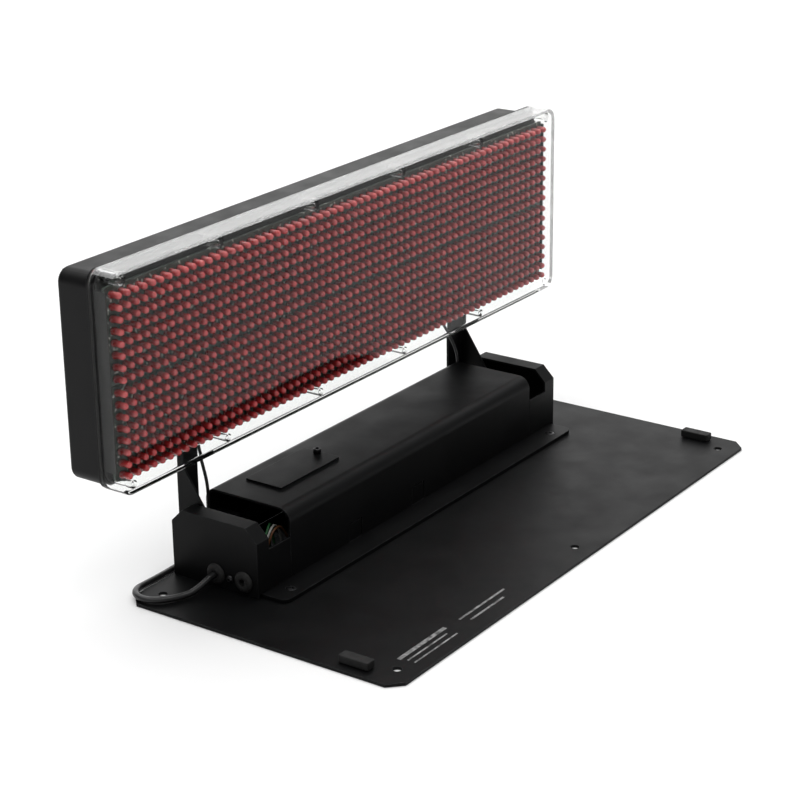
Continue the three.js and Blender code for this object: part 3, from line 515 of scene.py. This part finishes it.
def make_supply_cord():
    # The first turn of the hank takes the place of the route's last point.
    points = metres([*ROUTE_IN[:-1], *hank_line(), *ROUTE_OUT])
    line = even_line(smooth_line(points), 2.4 * MM)
    curve = bpy.data.curves.new("supply_cord", "CURVE")
    curve.dimensions = "3D"
    curve.bevel_depth = CORD_RADIUS * MM
    curve.bevel_resolution = 4
    curve.use_fill_caps = True
    spline = curve.splines.new("POLY")
    spline.points.add(len(line) - 1)
    for point, place in zip(spline.points, line):
        point.co = (*place, 1)
    spline.use_smooth = True
    cord = link(bpy.data.objects.new("supply_cord", curve))
    dress(cord, "base", SHEATH, "black_rubber", "power_cord", "cord_hank", "cord_tail")
    tail = Vector(ROUTE_OUT[-1])
    fan = {"green": (1.1, 8, 0.6), "brown": (0, 0.5, -0.9), "white": (-1.1, -7, 0.6)}
    for name, (dy, spread, dz) in fan.items():
        route = metres([
            tail + Vector((0.4, dy, dz)),
            tail + Vector((8, dy + spread * 0.2, dz * 0.6)),
            Vector((tail.x + 20, tail.y + dy + spread * 0.6, 1.1)),
            Vector((tail.x + 36, tail.y + dy + spread, 1.1)),
        ])
        lead = tube_mesh(f"lead_{name}", even_line(smooth_line(route), 1.6 * MM), 0.8 * MM)
        dress(lead, "base", CORES[name], f"core_{name}", f"tail_core_{name}")


make_supply_cord()


# ---------- the two display cables -------------------------------------------
CABLE_RADIUS = 1.1


def make_display_cables():
    top = [
        (142.9, 111.5, 88.3), (142.9, 111.5, 82.5), (144, 110.2, 76.5), (146.4, 105, 67.5),
        (147.6, 101.2, 57), (147.8, 100.2, 46), (148.3, 100.6, 36), (148.6, 101.3, 25), (148.5, 99.5, 15),
        (148.3, 91, 9.2), (148.2, 79, 8.2), (143, 68, 8.2),
    ]
    ends = {
        "left": [(136, 66, 9), (130.6, 78, 12.5)],
        "right": [
            (134, 52, 8.2), (118, 42, 7.6), (60, 40, 7.2), (0, 40, 7.2), (-38, 41, 8.4), (-49.4, 44.5, 13.2),
        ],
    }
    for name, side in (("left", -1), ("right", 1)):
        route = metres([(side * x, y, z) for x, y, z in [*top, *ends[name]]])
        line = even_line(smooth_line(route), 2 * MM)
        cable = tube_mesh(f"cable_{name}", line, CABLE_RADIUS * MM)
        dress(cable, None, SHEATH, "black_rubber", f"display_cable_{name}")
        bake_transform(cable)


make_display_cables()


# ---------- rounded-rectangle shells ----------
def rounded_loop(width, height, radius, steps=10):
    """Points of a rounded rectangle about 0, 0, in mm."""
    points = []
    for cx, cz, first in ((1, -1, -90), (1, 1, 0), (-1, 1, 90), (-1, -1, 180)):
        for i in range(steps + 1):
            angle = math.radians(first + 90 * i / steps)
            x = cx * (width / 2 - radius) + radius * math.cos(angle)
            z = cz * (height / 2 - radius) + radius * math.sin(angle)
            points.append((x, z))
    return points


def ring_at(bm, inset, y, width, height, centre_z, steps=10):
    """One ring of points on a rounded rectangle, drawn in by an inset."""
    loop = rounded_loop(width - 2 * inset, height - 2 * inset, max(0.8, CORNER - inset), steps)
    return [bm.verts.new(Vector((x, y, z + centre_z)) * MM) for x, z in loop]


def skin_rings(bm, rings):
    for a, b in zip(rings, rings[1:]):
        for k in range(len(a)):
            n = (k + 1) % len(a)
            bm.faces.new((a[k], a[n], b[n], b[k]))


def cap_rings(bm, rings):
    bm.faces.new(rings[0])
    bm.faces.new(list(reversed(rings[-1])))


def add_turned(bm, profile, centre, axis, sides=24):
    """Turns (radius, along) pairs about an axis through a centre, in mm, closing on it or on themselves."""
    along = {"x": Vector((1, 0, 0)), "y": Vector((0, 1, 0)), "z": Vector((0, 0, 1))}[axis]
    side = along.orthogonal().normalized()
    other = along.cross(side)
    rings = []
    for radius, h in profile:
        base = Vector(centre) + along * h
        if radius < 1e-6:
            rings.append([bm.verts.new(base * MM)])
            continue
        ring = []
        for k in range(sides):
            angle = 2 * math.pi * (k + 0.5) / sides
            outwards = side * math.cos(angle) + other * math.sin(angle)
            ring.append(bm.verts.new((base + outwards * radius) * MM))
        rings.append(ring)
    pairs = list(zip(rings, rings[1:]))
    if len(rings[0]) > 1:
        pairs.append((rings[-1], rings[0]))
    for a, b in pairs:
        for k in range(sides):
            n = (k + 1) % sides
            corners = [a[k % len(a)], a[n % len(a)], b[n % len(b)], b[k % len(b)]]
            unique = list(dict.fromkeys(corners))
            if len(unique) > 2:
                bm.faces.new(unique)


# ---------- display ----------
def box_mm(name):
    lowest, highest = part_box(name)
    return Vector(lowest) / MM, Vector(highest) / MM


LID_LOW, LID_HIGH = box_mm("clear_lid")
CASE_LOW, CASE_HIGH = box_mm("rear_housing")
CORNER = 9
CASE = {"width": 495.0, "bottom": 87.3, "top": 224.8}
LID = {
    "width": LID_HIGH.x - LID_LOW.x, "height": LID_HIGH.z - LID_LOW.z, "z": (LID_LOW.z + LID_HIGH.z) / 2,
    "front": LID_LOW.y, "rear": LID_HIGH.y, "wall": 2.5, "skin": 2.2,
}
POST_X = (49.7, 148.5, 239.5)
POSTS = [(s * x, z, r) for x in POST_X for s in (-1, 1) for z, r in ((223.1, 3.5), (92.6, 2.8))]


def boolean(target, tool, operation):
    modifier = target.modifiers.new("cut", "BOOLEAN")
    modifier.operation = operation
    modifier.solver = "EXACT"
    modifier.object = tool
    graph = bpy.context.evaluated_depsgraph_get()
    mesh = bpy.data.meshes.new_from_object(target.evaluated_get(graph), depsgraph=graph)
    target.modifiers.clear()
    target.data = mesh
    bpy.data.objects.remove(tool)


def reshade(obj, sharp=35):
    bm = bmesh.new()
    bm.from_mesh(obj.data)
    for face in bm.faces:
        face.smooth = True
    for edge in bm.edges:
        edge.smooth = len(edge.link_faces) != 2 or edge.calc_face_angle(0) < math.radians(sharp)
    bm.to_mesh(obj.data)
    bm.free()
    settle(obj)


def settle(obj):
    """Turns the corner normals to suit the large faces, so flat sheets shade flat."""
    modifier = obj.modifiers.new("normals", "WEIGHTED_NORMAL")
    modifier.keep_sharp = True
    modifier.weight = 100
    graph = bpy.context.evaluated_depsgraph_get()
    done = bpy.data.meshes.new_from_object(obj.evaluated_get(graph), depsgraph=graph)
    obj.modifiers.clear()
    obj.data = done


def make_lid():
    """The clear lid with its hollow screw posts. Its top and right walls take a paler, milkier copy of the
    clear plastic, painted light for the light these walls catch.
    """
    front, rear, wall, skin = LID["front"], LID["rear"], LID["wall"], LID["skin"]
    edge = 1.5
    profile = []
    for i in range(5):
        angle = math.radians(90 * i / 4)
        profile.append((edge * (1 - math.sin(angle)), front + edge * (1 - math.cos(angle))))
    profile.append((0, rear - 0.3))
    profile.append((0.3, rear))
    profile.append((wall - 0.3, rear))
    profile.append((wall, rear - 0.3))
    inner = 1.2
    for i in range(4):
        angle = math.radians(90 * i / 3)
        profile.append((wall + inner * (1 - math.cos(angle)), front + skin + inner * (1 - math.sin(angle))))
    bm = bmesh.new()
    rings = [ring_at(bm, inset, y, LID["width"], LID["height"], LID["z"], 12) for inset, y in profile]
    skin_rings(bm, rings)
    cap_rings(bm, rings)
    lid = finish_mesh("lens_cover", bm)
    bm = bmesh.new()
    for x, z, radius in POSTS:
        start = front + skin - 0.6
        profile = [
            (0, start), (radius, start), (radius, rear - 0.25), (radius - 0.25, rear), (1.6, rear),
            (1.6, front + skin + 2.2), (0.9, front + skin + 1.4), (0, front + skin + 1.4),
        ]
        add_turned(bm, profile, (x, 0, z), "y", 20)
    posts = finish_mesh("posts", bm)
    boolean(lid, posts, "UNION")
    reshade(lid, 32)
    dress(lid, "display", CLEAR, "clear_plastic", "clear_lid")
    # The top and right walls get the paler copy: painted light.
    lid.data.materials.append(CLEAR_WALL_PAINTED_LIGHT)
    top_wall = LID_HIGH.z - LID["wall"] - 0.2
    end_wall = LID_HIGH.x - LID["wall"] - 0.2
    for face in lid.data.polygons:
        middle = face.center / MM
        if middle.z > top_wall or middle.x > end_wall:
            face.material_index = 1


def make_housing():
    """The rear case, the rim that the lid sits on, and the inner bosses behind the lid's posts."""
    flange, lip, rear = CASE_LOW.y, CASE_LOW.y + 1.4, CASE_HIGH.y
    width, height = CASE["width"], CASE["top"] - CASE["bottom"]
    centre = (CASE["top"] + CASE["bottom"]) / 2
    edge = 3.0
    profile = [(4.5, rear - 2.5), (3.4, rear - 2.9), (2.5, rear - 4), (2.5, flange + 0.2), (0, flange + 0.2)]
    for i in range(7):
        angle = math.radians(90 * i / 6)
        profile.append((edge * (1 - math.cos(angle)), rear - edge * (1 - math.sin(angle))))
    bm = bmesh.new()
    rings = [ring_at(bm, inset, y, width, height, centre) for inset, y in profile]
    skin_rings(bm, rings)
    cap_rings(bm, rings)
    housing = finish_mesh("back_case", bm)

    bm = bmesh.new()
    profile = ((3.2, flange), (0.25, flange), (0, flange + 0.25), (0, lip - 0.35), (0.35, lip), (3.2, lip))
    width = LID["width"] - 0.6
    height = LID["height"] - 0.6
    rings = [ring_at(bm, inset, y, width, height, LID["z"]) for inset, y in profile]
    skin_rings(bm, [*rings, rings[0]])
    boolean(housing, finish_mesh("rim", bm), "UNION")

    bm = bmesh.new()
    start = flange + 0.1
    end = rear - 1.5
    for x, z, _ in POSTS:
        add_turned(bm, [(1.6, start), (3.3, start), (3.3, end), (1.6, end)], (x, 0, z), "y", 16)
    # The bosses stay inside the case's top and bottom walls.
    for vertex in bm.verts:
        vertex.co.z = min((CASE["top"] - 1) * MM, max((CASE["bottom"] + 1) * MM, vertex.co.z))
    bm.from_mesh(housing.data)
    bm.to_mesh(housing.data)
    bm.free()
    reshade(housing, 40)
    dress(housing, "display", HOUSING, "black_plastic", "rear_housing")


def make_leds():
    """Round-nosed LEDs in two fields, one for each board, each leaning slightly its own way."""
    columns = 64
    board_rows = 8
    lowest_row = 97.7
    board_gap = 1.3
    radius = 2.2
    profile = [(0, LED_TIP)]
    for i in range(1, 5):
        angle = math.radians(90 * i / 4)
        profile.append((radius * math.sin(angle), LED_TIP + radius * (1 - math.cos(angle))))
    profile += [(radius, 87.5), (2.5, 87.7), (2.5, 88.6), (2.3, LED_FOOT), (0, LED_FOOT)]
    for half, name in enumerate(("lower", "upper")):
        bm = bmesh.new()
        for row in range(half * board_rows, (half + 1) * board_rows):
            z = lowest_row + row * LED_PITCH + half * board_gap
            for column in range(columns):
                x = (column - (columns - 1) / 2) * LED_PITCH
                lean_x = RANDOM.uniform(-0.16, 0.16)
                lean_z = RANDOM.uniform(-0.16, 0.16)
                start = len(bm.verts)
                add_turned(bm, profile, (x, 0, z), "y", 12)
                bm.verts.ensure_lookup_table()
                for vertex in bm.verts[start:]:
                    reach = (LED_FOOT * MM - vertex.co.y) / ((LED_FOOT - LED_TIP) * MM)
                    vertex.co.x += lean_x * MM * reach
                    vertex.co.z += lean_z * MM * reach
        leds = finish_mesh(f"leds_{name}", bm)
        dress(leds, "display", LED, "red_led_plastic", f"led_field_{name}")


make_lid()
make_housing()
make_leds()


# ---------- frame pieces with broken edges ----------
def soften(node, name, material, slot, body, width=0.25, angle=38):
    """A copy of a frame node with its sharp edges rounded, which stands for it."""
    bm = bmesh.new()
    bm.from_mesh(nodes[node].data)
    bmesh.ops.remove_doubles(bm, verts=bm.verts, dist=2e-6)
    bmesh.ops.dissolve_limit(bm, angle_limit=math.radians(0.6), verts=bm.verts, edges=bm.edges)
    mesh = bpy.data.meshes.new(name)
    bm.to_mesh(mesh)
    bm.free()
    piece = link(bpy.data.objects.new(name, mesh))
    modifier = piece.modifiers.new("edge", "BEVEL")
    modifier.width = width * MM
    modifier.segments = 2
    modifier.limit_method = "ANGLE"
    modifier.angle_limit = math.radians(angle)
    modifier.use_clamp_overlap = True
    graph = bpy.context.evaluated_depsgraph_get()
    done = bpy.data.meshes.new_from_object(piece.evaluated_get(graph), depsgraph=graph)
    piece.modifiers.clear()
    piece.data = done
    reshade(piece, 32)
    dress(piece, body, material, slot, node)


for side in ("left", "right"):
    soften(f"end_cheek_{side}", f"cheek_{side}", COAT, "black_powder_coat", "base")
    soften(f"arm_{side}", f"support_arm_{side}", COAT, "black_powder_coat", "display")
    soften(f"rest_pad_{side}", f"pad_{side}", PAD, "black_rubber", "base", 0.3, 20)
soften("top_cover", "cover", COAT, "black_powder_coat", "base")
soften("mechanism_tray", "tray", COAT, "black_powder_coat", "base")
soften("base_plate", "plate", COAT, "black_powder_coat", "base")
soften("service_hatch", "hatch", COAT, "black_powder_coat", "base", 0.2)


# ---------- small turned pieces ----------
def make_grommets():
    """Rubber grommets, each with its groove round the cheek's sheet: one takes the cord, one is spare."""
    bore = 2.5
    height = 12
    profile = [
        (bore, -182.2), (3.2, -182.4), (5.0, -182.3), (6.2, -181.9), (6.9, -181.2), (7.2, -180.5),
        (6.9, -180.2), (5.2, -180.2), (5.2, -178.2), (6.1, -178.2), (6.1, -177.2), (5.4, -176.8),
        (bore, -176.8),
    ]
    for name, y in (("cord", 68.5), ("blank", 45.8)):
        bm = bmesh.new()
        add_turned(bm, profile, (0, y, height), "x", 40)
        dress(finish_mesh(f"grommet_{name}", bm, 50), "base", SOFT, "black_rubber", f"{name}_grommet")


def make_cheek_screw():
    """A domed head with a round recess on the left cheek, and the shank behind it."""
    seat, y, z = -180.1, 57, 11.2
    radius = 2.6
    height = -1.8
    recess = radius * 0.45
    head = [
        (0, 0), (radius * 0.96, 0), (radius, height * 0.12), (radius * 0.97, height * 0.5),
        (radius * 0.8, height * 0.82), (radius * 0.55, height), (recess, height),
        (recess * 0.9, height * 0.35), (0, height * 0.3),
    ]
    shank = [(0, -180.2), (1.3, -180.2), (1.3, -174.2), (0, -174)]
    bm = bmesh.new()
    add_turned(bm, head, (seat, y, z), "x", 20)
    add_turned(bm, shank, (0, y, z), "x", 14)
    dress(finish_mesh("side_screw", bm), "base", BLACK_SCREW, "zinc_steel", "cheek_screw")


def make_flange_screws():
    profile = [
        (0, 0.2), (1.6, 0.2), (1.6, 3.4), (3.1, 3.6), (3.4, 4.0), (3.3, 4.8), (2.7, 5.0), (1.5, 5.0),
        (1.35, 4.2), (0, 4.1),
    ]
    for name, side in (("left", -1), ("right", 1)):
        bm = bmesh.new()
        add_turned(bm, profile, (side * 159, 24.5, 0), "z", 24)
        screw = finish_mesh(f"tray_screw_{name}", bm)
        dress(screw, "base", BLACK_SCREW, "zinc_steel", f"flange_screw_{name}")


def make_hatch_screw():
    """A tall cap screw, its head grooved all round."""
    x, y = -61.2, 75.9
    profile = [
        (0, 46.2), (1.5, 46.2), (1.5, 53.0), (2.7, 53.0), (2.9, 53.2), (2.9, 56.0), (2.5, 56.4), (1.5, 56.4),
        (1.45, 54.8), (0, 54.6),
    ]
    sides = 32
    bm = bmesh.new()
    add_turned(bm, profile, (x, y, 0), "z", sides)
    for vertex in bm.verts:
        h = vertex.co.z / MM
        away = Vector((vertex.co.x / MM - x, vertex.co.y / MM - y))
        place = round(math.degrees(math.atan2(away.y, away.x)) / (360 / sides))
        if 53.1 < h < 56.1 and away.length > 2.8 and place % 2:
            vertex.co.x -= away.x * 0.06 * MM
            vertex.co.y -= away.y * 0.06 * MM
    dress(finish_mesh("cap_screw", bm), "base", BLACK_SCREW, "zinc_steel", "hatch_screw")


make_grommets()
make_cheek_screw()
make_flange_screws()
make_hatch_screw()

# ---------- plain bars where the plate is printed ----------
INK = Shader("worn ink")
INK_FADE = INK.ramp(INK.noise(240, 4), [(0.35, (0.05, 0.05, 0.05)), (0.65, (0.30, 0.30, 0.30))])
INK.set(Base_Color=INK_FADE, Roughness=0.6)


def make_print():
    """Thin bars of ink on the plate. Each is given by its two ends, its middle and its half width."""
    bars = [
        (-196, -146, -85.2, 1.5), (-194, -152, -90.6, 0.6), (-194, -148, -95.6, 0.6),
        (-132, -80, -86.4, 0.8), (-128, -90, -92.4, 0.8),
    ]
    under = 1.99
    over = 2.03
    bm = bmesh.new()
    for x0, x1, middle, half in bars:
        loop = [(x0, middle - half), (x1, middle - half), (x1, middle + half), (x0, middle + half)]
        bottom = [bm.verts.new(Vector((x, y, under)) * MM) for x, y in loop]
        top = [bm.verts.new(Vector((x, y, over)) * MM) for x, y in loop]
        for k in range(4):
            n = (k + 1) % 4
            bm.faces.new((bottom[k], bottom[n], top[n], top[k]))
        bm.faces.new(top)
        bm.faces.new(list(reversed(bottom)))
    dress(finish_mesh("print_bars", bm), "base", INK.material, "black_powder_coat")


make_print()

# ---------- materials of the frame pieces that stay ----------
KEPT = {
    ZINC: [
        "hinge_shaft", "bearing_block_left", "bearing_block_right", "arm_hub_left", "arm_hub_right",
        "drive_sector", "gearbox_shaft", "drive_motor", "motor_bracket", "switch_bracket",
    ],
    BRONZE: ["bearing_bush_left", "bearing_bush_right", "drive_pinion"],
    GREY: ["motor_gearbox", "terminal_block", "supply_fuse"],
    BLACK: [
        "limit_cam", "limit_switch_up", "limit_switch_down", "board_carrier", "cable_gland_left",
        "cable_gland_right", "cord_tie",
    ],
    BOARD: ["controller_board", "led_board_lower", "led_board_upper", "driver_board"],
    SOFT: ["lid_seal"],
    SHEATH: ["cord_inner_end"],
    CORES["brown"]: ["inner_core_brown"],
    CORES["white"]: ["inner_core_white"],
    CORES["green"]: ["inner_core_green"],
}
for material, names in KEPT.items():
    for name in names:
        mesh = nodes[name].data
        for index in range(len(mesh.materials)):
            mesh.materials[index] = material


# ---------- floor and light ----------
def make_stage():
    bm = bmesh.new()
    reach = 30
    drop = 0.0002
    corners = ((-reach, -reach), (reach, -reach), (reach, reach), (-reach, reach))
    bm.faces.new([bm.verts.new((x, y, -drop)) for x, y in corners])
    floor = finish_mesh("floor", bm)
    s = Shader("pale floor")
    tone = s.ramp(s.noise(3, 2), [(0.3, (0.93, 0.93, 0.93)), (0.7, (0.95, 0.95, 0.95))])
    s.set(Base_Color=tone, Roughness=0.9, Specular_IOR_Level=0.1)
    floor.data.materials.append(s.material)


def make_light():
    """A broad lamp overhead, a bright backdrop on one side and a dim room elsewhere."""
    world = bpy.data.worlds.new("studio")
    bpy.context.scene.world = world
    world.use_nodes = True
    tree = world.node_tree
    background = tree.nodes["Background"]
    where = tree.nodes.new("ShaderNodeTexCoord").outputs["Generated"]
    backdrop = Vector((0.74, 0.53, 0.42)).normalized()
    behind = tree.nodes.new("ShaderNodeVectorMath")
    behind.operation = "DOT_PRODUCT"
    behind.inputs[1].default_value = backdrop
    tree.links.new(where, behind.inputs[0])
    spread = tree.nodes.new("ShaderNodeMapRange")
    spread.interpolation_type = "SMOOTHSTEP"
    spread.inputs["From Min"].default_value = 0.45
    spread.inputs["From Max"].default_value = 0.95
    spread.inputs["To Min"].default_value = 0.2
    spread.inputs["To Max"].default_value = 1.5
    tree.links.new(behind.outputs["Value"], spread.inputs["Value"])
    tree.links.new(spread.outputs[0], background.inputs["Strength"])
    background.inputs["Color"].default_value = (1, 1, 1, 1)
    data = bpy.data.lights.new("overhead", "SUN")
    data.energy = 2.4
    data.angle = math.radians(80)
    sun = link(bpy.data.objects.new("overhead", data))
    sun.rotation_euler = Vector((-0.05, 0.1, 1)).to_track_quat("Z", "Y").to_euler()
    scene = bpy.context.scene
    scene.view_settings.view_transform = "Standard"
    scene.view_settings.look = "None"
    scene.cycles.max_bounces = 14
    scene.cycles.transmission_bounces = 12
    scene.cycles.transparent_max_bounces = 16


make_stage()
make_light()
